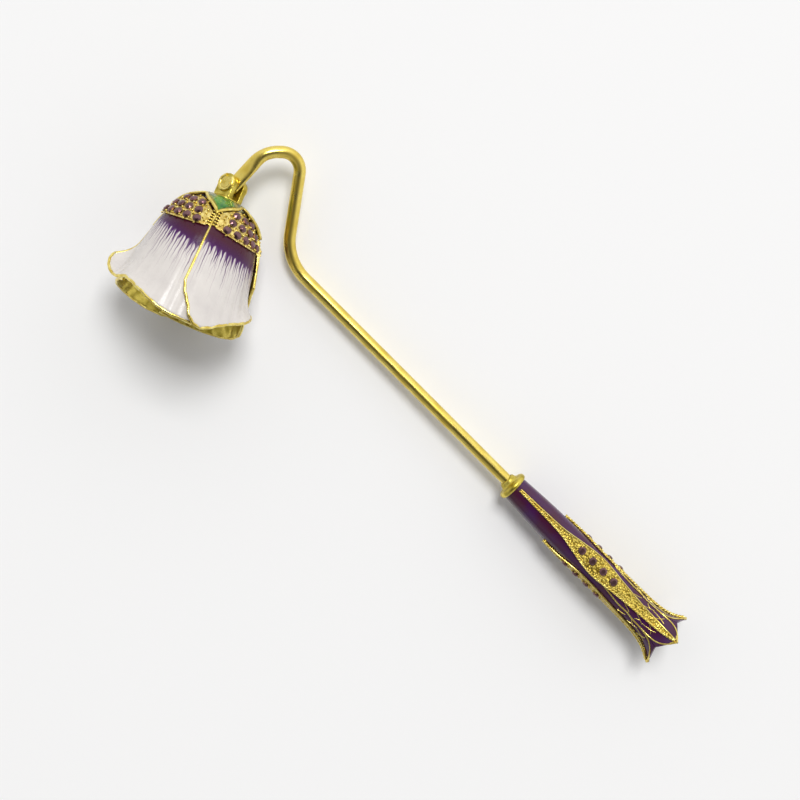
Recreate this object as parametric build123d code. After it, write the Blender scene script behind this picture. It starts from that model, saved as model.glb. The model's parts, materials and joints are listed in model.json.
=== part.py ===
from build123d import *

import os
from math import atan2, cos, degrees, pi, radians, sin, sqrt

# A candle snuffer lying on its side. A flower bell of four lapped petals hangs by a clevis from a
# gooseneck rod, and the rod ends in a handle that flares into four pointed petals.
# Lengths are in millimetres, angles in degrees, and +Z is up.

# Rod and its gooseneck
wire_radius = 2.0
rod_run = 180.4
arch_height = 29.1
arch_reach = 20.4
crown_below_arch = 8.5
crown_beyond_arch = 8.6
low_bend_radius = 16.5
arch_radius = 6.2
crown_radius = 9.2
tang_length = 26.0

# Tongue at the rod's free end
tongue_thickness = 2.4
tongue_width = 5.2
tongue_root_width = 3.8
tongue_length = 6.0
tongue_taper_length = 3.6
tongue_edge_share = 0.3333
eye_radius = 1.1

# Pivot pin and clevis
pin_clearance = 0.06
pin_head_radius = 1.9
pin_head_height = 0.5
ear_thickness = 2.1
ear_width = 6.6
slot_clearance = 0.3
pin_above_neck = 4.4
neck_radius = 4.6
stem_radius = 2.0
rivet_radius = 3.2
rivet_height = 0.8

# Bell, measured along its axis from the pin down to the mouth line
pin_above_dome = 6.0
mouth_radius = 20.7
wall_taper_share = 0.21
shoulder_above_mouth = 20.0
dome_height = 15.6
petal_thickness = 0.8
lap_gap = 0.25
petal_lap_turn = 20.0
petal_top_below_dome = 1.6
lip_drop = 7.0
lip_reach = 6.0
lip_curl_start_share = 0.7
lip_curl_power = 3
petal_count = 4
quarter_turn = 90.0

# Cup inside the petals
cup_thickness = 0.9
cup_rim_above_mouth = 5.0
cup_gap = 0.35
cup_top_below_dome = 1.2

# Stone beds and stones on the petals
pave_thickness = 0.5
pave_gap = 0.2
pave_top_below_dome = 2.9
pave_side_fall = 3.3
pave_height = 9.1
pave_scallop = 0.8
pave_half_turn = 39.0
stone_radius = 1.4
stone_girdle = 0.35
stone_crown = 0.45
stone_crown_lean = 40.0
stone_sides = 8
stone_gap = 0.08
stone_pitch = 3.7
stone_row_pitch = 2.7
first_row_above_bed = 1.7
stone_row_counts = (5, 4, 3)

# Half the step along the wall that its slope is taken over
slope_step = 0.05

# Sepals over the petals' tops
sepal_thickness = 0.8
sepal_top_below_dome = 1.3
sepal_side_height = 0.7
sepal_tip_length = 5.0
sepal_half_turn = 43.0
sepal_point_share = 0.6

# Handle, measured back from its tips towards the rod
handle_length = 73.5
collar_end_radius = 4.3
grip_radius = 5.45
grip_run = 30.0
flare_length = 27.7
flare_rise = 4.85
flare_power = 5.5
valley_depth = 3.2
valley_power = 0.7
flare_wall = 0.8
seat_gap = 0.1
hollow_depth = 8.0
plug_thickness = 2.0
bore_clearance = 0.05
butt_bore_radius = 3.0
butt_bore_depth = 30.0
handle_petal_half_turn = 44.0

# Collar between rod and handle
collar_rim_radius = 5.3
collar_rim_length = 1.4
collar_step_radius = 4.3
collar_step_length = 1.0
collar_neck_radius = 3.3
collar_neck_length = 2.2

# Leaves lapped on the handle, and their stones
leaf_thickness = 0.7
leaf_half_width = 3.1
leaf_end_half_width = 0.35
leaf_starts = (1.2, 19.0)
leaf_end_margin = 1.5
leaf_section_count = 11
leaf_swell_power = 0.9
leaf_stone_pitch = 5.0
leaf_stone_count = 4
stone_seat_depth = 0.45
first_stone_behind_flare = 0.9

# How it lies
handle_axis_height = 10.25
low_bend_height = 4.0
arch_bend_height = 10.5
bell_heading = -68.9
bell_lift = 13.4
pin_turn = -38.0
pivot_below_crown = 15.0
pivot_short_of_crown = 0.5
pivot_height = 12.9
handle_roll = -17.0

# Derived sizes
crown_height = arch_height - crown_below_arch
crown_reach = arch_reach + crown_beyond_arch
pivot_beside_rod = crown_height - pivot_below_crown
pivot_beyond_bend = crown_reach - pivot_short_of_crown
leaf_first_stone_from_tips = flare_length + first_stone_behind_flare
petal_lift = petal_thickness + lap_gap
pin_radius = eye_radius - pin_clearance
slot_width = tongue_thickness + 2 * slot_clearance
neck_depth = pin_above_neck
clevis_depth = slot_width + 2 * ear_thickness
tongue_eye_radius = tongue_width / 2
shoulder_radius = mouth_radius - wall_taper_share * shoulder_above_mouth
dome_above_mouth = shoulder_above_mouth + dome_height
mouth_depth = dome_above_mouth + pin_above_dome
petal_top_above_mouth = dome_above_mouth - petal_top_below_dome
cup_top_above_mouth = dome_above_mouth - cup_top_below_dome
pave_top_above_mouth = dome_above_mouth - pave_top_below_dome
pave_low_above_mouth = pave_top_above_mouth - pave_height
first_row_above_mouth = pave_low_above_mouth + first_row_above_bed
sepal_top_above_mouth = dome_above_mouth - sepal_top_below_dome
sepal_side_above_mouth = sepal_top_above_mouth - sepal_side_height
sepal_tip_above_mouth = sepal_side_above_mouth - sepal_tip_length

# Each petal's lower edge: (turn from the petal's free side, drop below the mouth line as a share of
# lip_drop, reach beyond the wall's line as a share of lip_reach)
petal_edge_shares = (
    ((0, -0.86, 0.00), (4, -0.37, 0.00), (10, 0.05, 0.00), (14, 0.47, -0.02), (20, 0.74, -0.04),
     (26, 0.78, -0.04), (33, 0.62, 0.00), (42, 0.32, 0.06), (52, 0.05, 0.14), (60, -0.12, 0.26),
     (68, -0.30, 0.40), (76, -0.48, 0.46), (84, -0.66, 0.46), (90, -0.80, 0.40), (95, -0.82, 0.22),
     (99, -0.82, 0.06), (103, -0.82, 0.00), (110, -0.85, -0.08)),
    ((0, -2.00, 0.00), (5, -1.70, 0.00), (9, -1.20, 0.00), (13, -0.60, 0.04), (17, -0.10, 0.08),
     (22, 0.15, 0.10), (35, 0.35, 0.12), (50, 0.45, 0.12), (70, 0.50, 0.10), (86, 0.50, 0.02),
     (110, 0.45, -0.10)),
    ((0, 0.20, 0.10), (7, 0.40, 0.10), (15, 0.55, 0.12), (29, 0.55, 0.12), (45, 0.45, 0.14),
     (56, 0.35, 0.15), (70, 0.25, 0.12), (80, 0.20, 0.10), (90, 0.10, 0.10), (99, 0.00, 0.05),
     (110, 0.00, -0.08)),
    ((0, -0.95, 0.76), (3, -0.85, 0.84), (6, -0.62, 0.86), (10, -0.35, 0.76), (14, -0.12, 0.55),
     (18, 0.00, 0.36), (24, 0.05, 0.24), (36, -0.07, 0.20), (47, 0.05, 0.22), (59, 0.27, 0.20),
     (70, 0.50, 0.05), (80, 0.65, -0.06), (90, 0.72, -0.10), (110, 0.72, -0.14)),
)


def on_circle(radius, turn, height):
    """A point round the local Z axis; turn 0 lies on +Y and grows anticlockwise."""
    angle = radians(turn)
    return Vector(-radius * sin(angle), radius * cos(angle), height)


def outward_normals(outline):
    """Unit normals, pointing away from the axis, at the points of an outline given from its top."""
    normals = []
    last = len(outline) - 1
    for index in range(len(outline)):
        before = outline[max(index - 1, 0)]
        after = outline[min(index + 1, last)]
        run = after[0] - before[0]
        fall = before[1] - after[1]
        length = sqrt(run * run + fall * fall)
        normals.append((fall / length, run / length))
    return normals


def shell_section(outline, thickness, turn):
    """The cut through a wall at one turn: its outer outline and a parallel inner one."""
    outer = [on_circle(radius, turn, height) for radius, height in outline]
    normals = outward_normals(outline)
    inner = []
    for (radius, height), (across, up) in zip(outline, normals):
        inner.append(on_circle(radius - thickness * across, turn, height - thickness * up))
    edges = [
        Spline(*outer),
        Line(outer[-1], inner[-1]),
        Spline(*reversed(inner)),
        Line(inner[0], outer[0]),
    ]
    return make_face(edges)


def shell(turns, outline_at, thickness):
    """A closed wall through its cuts at several turns round the local Z axis."""
    sections = [shell_section(outline_at(turn), thickness, turn) for turn in turns]
    return loft(sections)


def spread(first, last, count):
    """Evenly spaced values from first to last."""
    return [first + (last - first) * index / (count - 1) for index in range(count)]


# Bell

bell_step_count = 9
petal_section_count = 23
BASE_AT_ORIGIN = (Align.CENTER, Align.CENTER, Align.MIN)
TOP_AT_ORIGIN = (Align.CENTER, Align.CENTER, Align.MAX)


def bell_wall_radius(above_mouth):
    """The petals' outer radius, without their lap, at a height above the mouth line."""
    if above_mouth <= shoulder_above_mouth:
        return mouth_radius - wall_taper_share * above_mouth
    share = min((above_mouth - shoulder_above_mouth) / dome_height, 1)
    taper = wall_taper_share * (above_mouth - shoulder_above_mouth) * (1 - share)
    return shoulder_radius * sqrt(1 - share * share) - taper


def bell_place_at(above_mouth, stand_out):
    """A place (radius, height) off the wall's line, with the pin at height zero, and the normal there."""
    upper = bell_wall_radius(above_mouth + slope_step)
    lower = bell_wall_radius(above_mouth - slope_step)
    lean = atan2(lower - upper, 2 * slope_step)
    across = cos(lean)
    up = sin(lean)
    radius = bell_wall_radius(above_mouth) + stand_out * across
    height = above_mouth - mouth_depth + stand_out * up
    return radius, height, across, up


def bell_outline(top, low, stand_out):
    """The wall's outline between two heights above the mouth, pushed out along its normal."""
    return [bell_place_at(above, stand_out)[:2] for above in spread(top, low, bell_step_count)]


def lap_lift(turn_from_free_side):
    """How far a petal stands out: most at its free side, least where it tucks under."""
    whole = quarter_turn + petal_lap_turn
    return petal_lift * (whole - turn_from_free_side) / quarter_turn


def edge_values(edge_shares, turn):
    """Drop and reach of a petal's lower edge at a turn of its table."""
    for before, after in zip(edge_shares, edge_shares[1:]):
        if turn <= after[0]:
            break
    share = (turn - before[0]) / (after[0] - before[0])
    drop = before[1] + (after[1] - before[1]) * share
    reach = before[2] + (after[2] - before[2]) * share
    return drop * lip_drop, reach * lip_reach


def petal_outline(edge_shares, turn):
    """A petal's outer outline, top to lip, at a turn from its free side."""
    drop, reach = edge_values(edge_shares, turn)
    outline = []
    for share in spread(0, 1, bell_step_count):
        above = petal_top_above_mouth + (-drop - petal_top_above_mouth) * share
        curl = max(share - lip_curl_start_share, 0) / (1 - lip_curl_start_share)
        radius, height = bell_place_at(above, lap_lift(turn))[:2]
        outline.append((radius + reach * curl ** lip_curl_power, height))
    return outline


def make_petal(number):
    """One enamelled petal, free along one side and tucked under its neighbour at the other."""
    shares = petal_edge_shares[number]
    first = quarter_turn * number
    turns = spread(first, first + quarter_turn + petal_lap_turn, petal_section_count)
    return shell(turns, lambda turn: petal_outline(shares, turn - first), petal_thickness)


def make_cup():
    """The gilt cup that carries the petals, closed on top but for the clevis's stem."""
    inset = petal_thickness + cup_gap
    outline = bell_outline(cup_top_above_mouth, cup_rim_above_mouth, -inset)
    normals = outward_normals(outline)
    inner = []
    for (radius, height), (across, up) in zip(outline, normals):
        inner.append((radius - cup_thickness * across, height - cup_thickness * up))
    crown = outline[0]
    crown_inner = inner[0][1]
    bore = stem_radius + bore_clearance
    edges = [
        Line((bore, 0, crown[1]), (crown[0], 0, crown[1])),
        Spline(*[(radius, 0, height) for radius, height in outline]),
        Line((outline[-1][0], 0, outline[-1][1]), (inner[-1][0], 0, inner[-1][1])),
        Spline(*[(radius, 0, height) for radius, height in reversed(inner)]),
        Line((inner[0][0], 0, inner[0][1]), (bore, 0, crown_inner)),
        Line((bore, 0, crown_inner), (bore, 0, crown[1])),
    ]
    return revolve(make_face(edges), Axis.Z)


def pave_outline(turn_from_free_side):
    """Outer outline of a stone bed at a turn from its petal's free side."""
    middle = quarter_turn / 2
    share = abs(turn_from_free_side - middle) / pave_half_turn
    top = pave_top_above_mouth - pave_side_fall * share * share
    low = pave_low_above_mouth + pave_scallop * share * share
    stand_out = lap_lift(turn_from_free_side) + pave_gap + pave_thickness
    return bell_outline(top, low, stand_out)


def make_pave(number):
    """The gilt bed for the stones on a petal's shoulder."""
    first = quarter_turn * number
    middle = quarter_turn / 2
    turns = spread(first + middle - pave_half_turn, first + middle + pave_half_turn, bell_step_count)
    return shell(turns, lambda turn: pave_outline(turn - first), pave_thickness)


def cut_stone():
    """A round stone with a straight girdle and a faceted crown, its base at the origin."""
    outline = RegularPolygon(stone_radius, stone_sides)
    girdle = extrude(outline, stone_girdle)
    crown_base = Pos(0, 0, stone_girdle) * outline
    crown = extrude(crown_base, stone_crown, taper=stone_crown_lean)
    return girdle + crown


def make_petal_stones(number):
    """The stones of one petal, in rows over the bed's outer face."""
    stones = []
    centre = quarter_turn / 2
    for row, count in enumerate(stone_row_counts):
        above = first_row_above_mouth + row * stone_row_pitch
        row_radius = bell_wall_radius(above) + petal_lift
        pitch_turn = degrees(stone_pitch / row_radius)
        for place in range(count):
            turn = centre + (place - (count - 1) / 2) * pitch_turn
            stand_out = lap_lift(turn) + pave_gap + pave_thickness
            radius, height, across, up = bell_place_at(above, stand_out + stone_gap)
            out = on_circle(across, quarter_turn * number + turn, up)
            seat = on_circle(radius, quarter_turn * number + turn, height)
            stones.append(Plane(origin=seat, z_dir=out) * cut_stone())
    return Compound(stones)


def sepal_outline(turn_from_tip):
    """Outer outline of a sepal at a turn from its tip."""
    share = abs(turn_from_tip) / sepal_half_turn
    low = sepal_tip_above_mouth + sepal_tip_length * share ** sepal_point_share
    return bell_outline(sepal_top_above_mouth, low, lap_lift(0) + pave_gap + sepal_thickness)


def make_sepal(number):
    """One green sepal, its tip over the lap between two petals."""
    first = quarter_turn * number
    turns = spread(first - sepal_half_turn, first + sepal_half_turn, bell_step_count)
    return shell(turns, lambda turn: sepal_outline(turn - first), sepal_thickness)


def ear_outline():
    """One ear seen along the pin: straight sides under a round top, with the pin's hole."""
    half = ear_width / 2
    body = Pos(0, -neck_depth / 2) * Rectangle(ear_width, neck_depth)
    return body + Circle(half) - Circle(pin_radius)


def pin_plane():
    """The plane through the pin's middle, square to the pin, with the bell's axis as its Y."""
    along = on_circle(1, pin_turn, 0)
    return Plane(origin=(0, 0, 0), x_dir=Vector(0, 0, 1).cross(along), z_dir=along)


def make_clevis():
    """The neck, its two ears and the stem that holds the cup."""
    ears = []
    for side in (-1, 1):
        offset = side * (slot_width + ear_thickness) / 2 - ear_thickness / 2
        ears.append(pin_plane() * Pos(0, 0, offset) * extrude(ear_outline(), ear_thickness))
    crown = bell_place_at(cup_top_above_mouth, -(petal_thickness + cup_gap))[1]
    foot = crown + seat_gap
    neck = Pos(0, 0, foot) * Cylinder(neck_radius, -pin_above_neck - foot, align=BASE_AT_ORIGIN)
    stem_length = cup_thickness + 2 * seat_gap
    stem = Pos(0, 0, foot) * Cylinder(stem_radius, stem_length, align=TOP_AT_ORIGIN)
    rivet = Pos(0, 0, foot - stem_length) * Cylinder(rivet_radius, rivet_height, align=TOP_AT_ORIGIN)
    return neck + stem + rivet + ears[0] + ears[1]


def make_pin():
    """The pivot pin with a domed head at each end, tight in the ears."""
    length = clevis_depth
    pin = Cylinder(pin_radius, length)
    for side in (-1, 1):
        head = Cylinder(pin_head_radius, pin_head_height)
        pin += Pos(0, 0, side * (length + pin_head_height) / 2) * head
    return pin_plane() * pin


# Handle, in its own frame: the tips at height zero, the rod towards -Z

def handle_radius(height):
    """The handle's outer radius at a height at or below the tips."""
    from_flare = height + flare_length
    if from_flare > 0:
        return grip_radius + flare_rise * (from_flare / flare_length) ** flare_power
    past_grip = max(-from_flare - grip_run / 2, 0)
    share = min(past_grip / (handle_length - flare_length - grip_run / 2), 1)
    return grip_radius + (collar_end_radius - grip_radius) * share * share


def flare_edge(turn_from_tip):
    """Height of the handle's scalloped end at a turn from a tip."""
    share = abs(turn_from_tip) / (quarter_turn / 2)
    return -valley_depth * share ** valley_power


def handle_petal_outline(turn_from_tip):
    """Outer outline of a handle petal, from its scalloped end back to the shaft."""
    outline = []
    for height in spread(flare_edge(turn_from_tip), -flare_length, bell_step_count):
        outline.append((handle_radius(height), height))
    return outline


def make_handle_petal(number):
    """One flared petal of the handle."""
    first = quarter_turn * number
    last = first + handle_petal_half_turn
    turns = spread(first - handle_petal_half_turn, last, 2 * bell_step_count - 1)
    return shell(turns, lambda turn: handle_petal_outline(turn - first), flare_wall)


def make_handle_body():
    """The enamelled shaft, thinner inside the petals, bored for the rod and from the butt."""
    upper_heights = spread(-handle_length, -flare_length, bell_step_count)
    upper = [(handle_radius(height), 0, height) for height in upper_heights]
    inset = flare_wall + seat_gap
    lower_heights = spread(-flare_length, -hollow_depth, bell_step_count)
    lower = [(handle_radius(height) - inset, 0, height) for height in lower_heights]
    edges = [
        Line((0, 0, -handle_length), upper[0]),
        Spline(*upper),
        Line(upper[-1], lower[0]),
        Spline(*lower),
        Line(lower[-1], (0, 0, -hollow_depth)),
        Line((0, 0, -hollow_depth), (0, 0, -handle_length)),
    ]
    body = revolve(make_face(edges), Axis.Z)
    tang_bore = Pos(0, 0, -handle_length) * Cylinder(
        wire_radius + bore_clearance, 2 * (tang_length + seat_gap)
    )
    butt_bore = Pos(0, 0, -hollow_depth) * Cylinder(butt_bore_radius, 2 * butt_bore_depth)
    return body - tang_bore - butt_bore


def make_handle_plug():
    """The plug that closes the flare behind the tips, with its spigot in the butt bore."""
    disc_radius = handle_radius(-hollow_depth) - flare_wall - seat_gap
    disc = Cylinder(disc_radius, plug_thickness, align=BASE_AT_ORIGIN)
    spigot = Cylinder(
        butt_bore_radius - bore_clearance, butt_bore_radius, align=TOP_AT_ORIGIN
    )
    return Pos(0, 0, -hollow_depth) * (disc + spigot)


def make_collar():
    """The stepped ferrule where the rod enters the handle."""
    steps = (
        (collar_rim_radius, collar_rim_length),
        (collar_step_radius, collar_step_length),
        (collar_neck_radius, collar_neck_length),
    )
    collar = None
    height = -handle_length
    for radius, length in steps:
        step = Pos(0, 0, height) * Cylinder(radius, length, align=TOP_AT_ORIGIN)
        collar = step if collar is None else collar + step
        height -= length
    bore = Pos(0, 0, -handle_length) * Cylinder(wire_radius + bore_clearance, 2 * handle_length)
    return collar - bore


def leaf_half_turn(height, share):
    """Half the turn that a leaf takes up at a share of its length."""
    swell = sin(pi * share) ** leaf_swell_power if 0 < share < 1 else 0
    half_width = leaf_end_half_width + (leaf_half_width - leaf_end_half_width) * swell
    return degrees(half_width / handle_radius(height))


def leaf_section(height, share, middle):
    """The cut through a leaf, square to the handle's axis."""
    half = leaf_half_turn(height, share)
    low = handle_radius(height) + seat_gap
    high = low + leaf_thickness
    outer = [on_circle(high, middle + side * half, height) for side in (-1, 0, 1)]
    inner = [on_circle(low, middle + side * half, height) for side in (1, 0, -1)]
    edges = [
        ThreePointArc(*outer),
        Line(outer[-1], inner[0]),
        ThreePointArc(*inner),
        Line(inner[-1], outer[0]),
    ]
    return make_face(edges)


def make_handle_leaf(number):
    """One long leaf, lapped on the shaft and on a flared petal."""
    first = -handle_length + leaf_starts[number % len(leaf_starts)]
    last = -leaf_end_margin
    sections = []
    for share in spread(0, 1, leaf_section_count):
        sections.append(leaf_section(first + (last - first) * share, share, quarter_turn * number))
    leaf = loft(sections)
    for seat in leaf_seats(number):
        leaf -= seat * Cylinder(stone_radius + stone_gap, 2 * leaf_thickness, align=BASE_AT_ORIGIN)
    return leaf


def leaf_seats(number):
    """The planes at the bottom of the stones' seats in one leaf."""
    seats = []
    for place in range(leaf_stone_count):
        height = -leaf_first_stone_from_tips - place * leaf_stone_pitch
        out = on_circle(1, quarter_turn * number, 0)
        lift = handle_radius(height) + seat_gap + leaf_thickness - stone_seat_depth
        seats.append(Plane(origin=on_circle(lift, quarter_turn * number, height), z_dir=out))
    return seats


def make_leaf_stones(number):
    """The row of stones along one leaf, each a little clear of its seat."""
    stones = []
    for seat in leaf_seats(number):
        stones.append(seat.offset(stone_gap) * cut_stone())
    return Compound(stones)


# Places in the lying pose

def bell_axes():
    """The bell's direction towards its mouth, its upper side and its sideways direction."""
    heading = radians(bell_heading)
    lift = radians(bell_lift)
    forward = Vector(cos(heading), sin(heading), 0)
    mouthward = forward * cos(lift) + Vector(0, 0, sin(lift))
    topward = Vector(0, 0, cos(lift)) - forward * sin(lift)
    sideways = Vector(-sin(heading), cos(heading), 0)
    return mouthward, topward, sideways


rod_rise = (handle_axis_height - low_bend_height) / rod_run
rod_direction = Vector(1, 0, rod_rise).normalized()
tips_place = Vector(0, 0, handle_axis_height)
pivot = Vector(-rod_run - pivot_beyond_bend, pivot_beside_rod, pivot_height)
mouthward, topward, sideways = bell_axes()
bell_place = Plane(origin=pivot, x_dir=sideways * -1, z_dir=mouthward * -1)
pin_direction = bell_place.from_local_coords(on_circle(1, pin_turn, 0)) - pivot
handle_spin = Rot(0, 0, handle_roll)
handle_place = Plane(origin=tips_place, x_dir=Vector(0, -1, 0), z_dir=rod_direction)


def tongue_direction():
    """From the crown to the pin, in plan towards it and square to the pin."""
    crown = Vector(-rod_run - crown_reach, crown_height, 0)
    plan = Vector(pivot.X, pivot.Y, 0) - crown
    slope = -(plan.X * pin_direction.X + plan.Y * pin_direction.Y) / pin_direction.Z
    return Vector(plan.X, plan.Y, slope)


def rod_route():
    """Corner points of the rod, from its tang to the start of its tongue."""
    reach = tongue_direction()
    crown = pivot - reach
    root = pivot - reach.normalized() * (tongue_length + tongue_taper_length)
    tang = tips_place - rod_direction * (handle_length - tang_length)
    low_bend = Vector(-rod_run, 0, low_bend_height)
    arch = Vector(-rod_run - arch_reach, arch_height, arch_bend_height)
    return [tang, low_bend, arch, crown, root]


def make_rod():
    """The wire rod with its flattened tongue and the eye for the pin."""
    points = rod_route()
    radii = (low_bend_radius, arch_radius, crown_radius)
    route = FilletPolyline(*points, radius=radii)
    start = Plane(origin=points[0], z_dir=(points[1] - points[0]).normalized())
    wire = sweep(start * Circle(wire_radius), path=route)
    along = tongue_direction().normalized()
    root = Plane(origin=points[-1], x_dir=pin_direction, z_dir=along)
    flat = root.offset(tongue_taper_length)
    taper = loft([
        root * Circle(wire_radius),
        flat * RectangleRounded(tongue_thickness, tongue_root_width, tongue_thickness * tongue_edge_share),
    ])
    face = Plane(origin=pivot - pin_direction * (tongue_thickness / 2), x_dir=along, z_dir=pin_direction)
    blank = make_face(Polyline(
        (-tongue_length, -tongue_root_width / 2),
        (0, -tongue_eye_radius),
        (0, tongue_eye_radius),
        (-tongue_length, tongue_root_width / 2),
        close=True,
    ))
    outline = blank + Circle(tongue_eye_radius) - Circle(eye_radius)
    tongue = face * extrude(outline, tongue_thickness)
    return wire + taper + tongue


def place_bell(shape):
    """Moves a shape from the bell's frame to the lying pose."""
    return bell_place * shape


def place_handle(shape):
    """Moves a shape from the handle's frame to the lying pose."""
    return handle_place * handle_spin * shape


def make_nodes():
    """All sub-parts by name, in the lying pose."""
    nodes = {
        "hook_rod": make_rod(),
        "rod_collar": place_handle(make_collar()),
        "handle_body": place_handle(make_handle_body()),
        "handle_plug": place_handle(make_handle_plug()),
        "pivot_pin": place_bell(make_pin()),
        "clevis": place_bell(make_clevis()),
        "bell_cup": place_bell(make_cup()),
    }
    for number in range(petal_count):
        label = number + 1
        nodes[f"petal_{label}"] = place_bell(make_petal(number))
        nodes[f"petal_pave_{label}"] = place_bell(make_pave(number))
        nodes[f"petal_stones_{label}"] = place_bell(make_petal_stones(number))
        nodes[f"sepal_{label}"] = place_bell(make_sepal(number))
        nodes[f"handle_petal_{label}"] = place_handle(make_handle_petal(number))
        nodes[f"handle_leaf_{label}"] = place_handle(make_handle_leaf(number))
        nodes[f"leaf_stones_{label}"] = place_handle(make_leaf_stones(number))
    return nodes


def settle(nodes):
    """Sets the part's origin under the middle of its box."""
    boxes = [shape.bounding_box() for shape in nodes.values()]
    middle_x = (min(box.min.X for box in boxes) + max(box.max.X for box in boxes)) / 2
    middle_y = (min(box.min.Y for box in boxes) + max(box.max.Y for box in boxes)) / 2
    lowest = min(box.min.Z for box in boxes)
    move = Pos(-middle_x, -middle_y, -lowest)
    return {name: move * shape for name, shape in nodes.items()}, move


nodes = make_nodes()
placed, move = settle(nodes)
os.makedirs("parts", exist_ok=True)
for name, shape in placed.items():
    export_step(shape, f"parts/{name}.step")
print("pivot", (move * Pos(*pivot)).position, "pin direction", pin_direction)
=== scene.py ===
import math
from math import acos, atan2, cos, degrees, pi, radians, sin, sqrt

import bmesh
import bpy
from mathutils import Matrix, Vector, noise
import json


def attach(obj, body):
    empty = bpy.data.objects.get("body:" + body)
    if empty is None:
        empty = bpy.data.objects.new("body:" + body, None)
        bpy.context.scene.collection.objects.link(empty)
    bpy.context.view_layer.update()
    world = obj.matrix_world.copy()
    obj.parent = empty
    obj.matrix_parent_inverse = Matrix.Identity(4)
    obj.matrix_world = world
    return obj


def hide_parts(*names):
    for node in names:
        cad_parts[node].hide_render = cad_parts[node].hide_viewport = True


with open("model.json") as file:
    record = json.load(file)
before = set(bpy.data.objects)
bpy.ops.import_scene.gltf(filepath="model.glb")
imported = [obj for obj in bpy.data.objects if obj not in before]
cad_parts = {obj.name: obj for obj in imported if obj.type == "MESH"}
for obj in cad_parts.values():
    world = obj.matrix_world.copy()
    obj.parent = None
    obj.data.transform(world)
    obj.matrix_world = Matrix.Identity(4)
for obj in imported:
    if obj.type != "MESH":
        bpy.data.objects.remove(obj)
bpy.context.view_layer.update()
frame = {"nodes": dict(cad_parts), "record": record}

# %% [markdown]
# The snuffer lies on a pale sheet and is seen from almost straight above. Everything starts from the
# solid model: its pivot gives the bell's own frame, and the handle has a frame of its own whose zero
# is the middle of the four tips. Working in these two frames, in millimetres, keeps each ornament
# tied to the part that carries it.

mm = 0.001
hinge = frame["record"]["behaviour"]["joints"][0]
pivot = Vector(hinge["pos_m"])

bell_heading = -68.9
bell_lift = 13.4
rod_run = 180.4
pivot_reach, pivot_side, pivot_rise = 28.5, 5.6, 12.9
pivot_in_design = Vector((-rod_run - pivot_reach, pivot_side, pivot_rise))
handle_axis_height = 10.25
low_bend_height = 4.0
handle_roll = -17.0


def frame_of(origin, x_axis, z_axis):
    """A matrix from millimetres in a part's own frame to metres in the scene."""
    z = z_axis.normalized()
    x = x_axis.normalized()
    y = z.cross(x)
    turn = Matrix((x, y, z)).transposed().to_4x4()
    return Matrix.Translation(origin) @ turn @ Matrix.Scale(mm, 4)


heading = Vector((cos(radians(bell_heading)), sin(radians(bell_heading)), 0))
up = Vector((0, 0, 1))
mouthward = heading * cos(radians(bell_lift)) + up * sin(radians(bell_lift))
sideways = up.cross(heading)
bell_frame = frame_of(pivot, -sideways, -mouthward)
tips_centre = pivot + (Vector((0, 0, handle_axis_height)) - pivot_in_design) * mm
rod_direction = Vector((1, 0, (handle_axis_height - low_bend_height) / rod_run)).normalized()
handle_frame = frame_of(tips_centre, Vector((0, -1, 0)), rod_direction)
print("pivot", tuple(round(v / mm, 2) for v in pivot), "tips", tuple(round(v / mm, 2) for v in tips_centre))

# %% [markdown]
# The camera stands above the sheet and leans ten degrees towards the picture's top edge. A long lens
# keeps the rod straight and the handle in proportion. The picture's own right and up directions, laid
# on the sheet, place the camera and later the lamp.

# %% Camera
picture_right = Vector((0.7057, 0.7085, 0)).normalized()
picture_up = Vector((-0.7085, 0.7057, 0)).normalized()
aim = Vector((-0.0117, 0.0021, 0.00785))
camera_distance = 0.525
camera_lean = radians(10)
view_width = 0.264
sensor_width = 36

camera = bpy.data.objects.new("camera", bpy.data.cameras.new("camera"))
bpy.context.scene.collection.objects.link(camera)
bpy.context.scene.camera = camera
back = up * cos(camera_lean) + picture_up * sin(camera_lean)
camera_up = back.cross(picture_right)
camera.matrix_world = Matrix.Translation(aim + back * camera_distance) @ Matrix(
    (picture_right, camera_up, back)).transposed().to_4x4()
camera.data.sensor_width = sensor_width
camera.data.lens = sensor_width * camera_distance / view_width
camera.data.clip_start = 0.01
print("camera at", tuple(round(v, 3) for v in camera.location), "lens", round(camera.data.lens, 1))

# %% [markdown]
# A piece made of mesh is built in a bmesh and then handed over to Blender. One small helper does this
# for all pieces: it links the object, puts on its finishes, and says which moving body it rides on.

# %% Helpers for pieces
scene_collection = bpy.context.scene.collection


def piece_from(name, bm, body, finishes, smooth=True):
    """Makes a finished bmesh a piece that rides on a body."""
    mesh = bpy.data.meshes.new(name)
    bm.normal_update()
    bm.to_mesh(mesh)
    bm.free()
    for finish in finishes:
        mesh.materials.append(finish)
    mesh.polygons.foreach_set("use_smooth", [smooth] * len(mesh.polygons))
    piece = bpy.data.objects.new(name, mesh)
    scene_collection.objects.link(piece)
    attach(piece, body)
    return piece


def wire(name, routes, radius, body, finish, sides=3):
    """Round wires through lists of points, in metres, as one curve."""
    curve = bpy.data.curves.new(name, "CURVE")
    curve.dimensions = "3D"
    curve.bevel_depth = radius * mm
    curve.bevel_resolution = sides
    curve.use_fill_caps = True
    for route in routes:
        spline = curve.splines.new("POLY")
        spline.points.add(len(route) - 1)
        for index, place in enumerate(route):
            spline.points[index].co = (*place, 1)
        spline.use_smooth = True
    curve.materials.append(finish)
    piece = bpy.data.objects.new(name, curve)
    scene_collection.objects.link(piece)
    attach(piece, body)


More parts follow.
